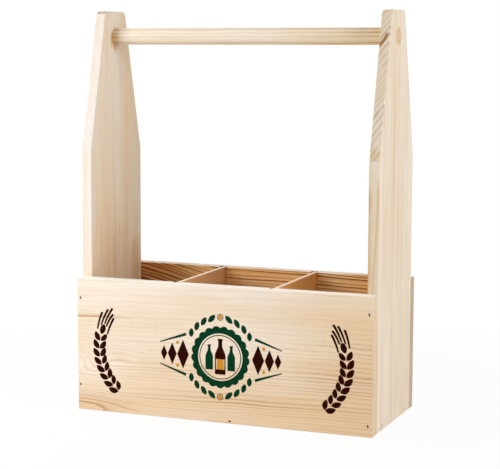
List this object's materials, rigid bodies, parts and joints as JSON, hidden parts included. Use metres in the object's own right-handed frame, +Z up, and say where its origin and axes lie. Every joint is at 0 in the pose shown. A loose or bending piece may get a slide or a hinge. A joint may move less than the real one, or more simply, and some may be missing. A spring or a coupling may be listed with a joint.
{
  "type": "bottle caddy",
  "caption": "Open wooden box with cross dividers between two tall end boards that taper to a dowel handle.",
  "frame": {"origin": "on the ground, under the middle of the caddy", "axes": "+Z up, the printed front board faces -Y, the handle runs along X"},
  "size_m": [0.3, 0.134, 0.386],
  "materials": {
    "pine": "planed and sanded, unpainted",
    "dowel_wood": "turned smooth, unpainted",
    "divider_wood": "plain thin board, unpainted",
    "brad_steel": "dull, sunk below the surface"
  },
  "bodies": {
    "frame": {"front_board": "pine", "back_board": "pine", "left_end_board": "pine", "right_end_board": "pine", "floor_board": "pine", "handle_dowel": "dowel_wood", "front_brads": "brad_steel", "back_brads": "brad_steel", "left_end_brads": "brad_steel", "right_end_brads": "brad_steel"},
    "left_divider": {"left_divider": "divider_wood"},
    "right_divider": {"right_divider": "divider_wood"}
  },
  "joints": [
    {"name": "left_divider_lift", "type": "slide", "parent": "frame", "child": "left_divider", "axis": [0, 0, 1], "range_m": [0, 0.125]},
    {"name": "right_divider_lift", "type": "slide", "parent": "frame", "child": "right_divider", "axis": [0, 0, 1], "range_m": [0, 0.125]}
  ]
}
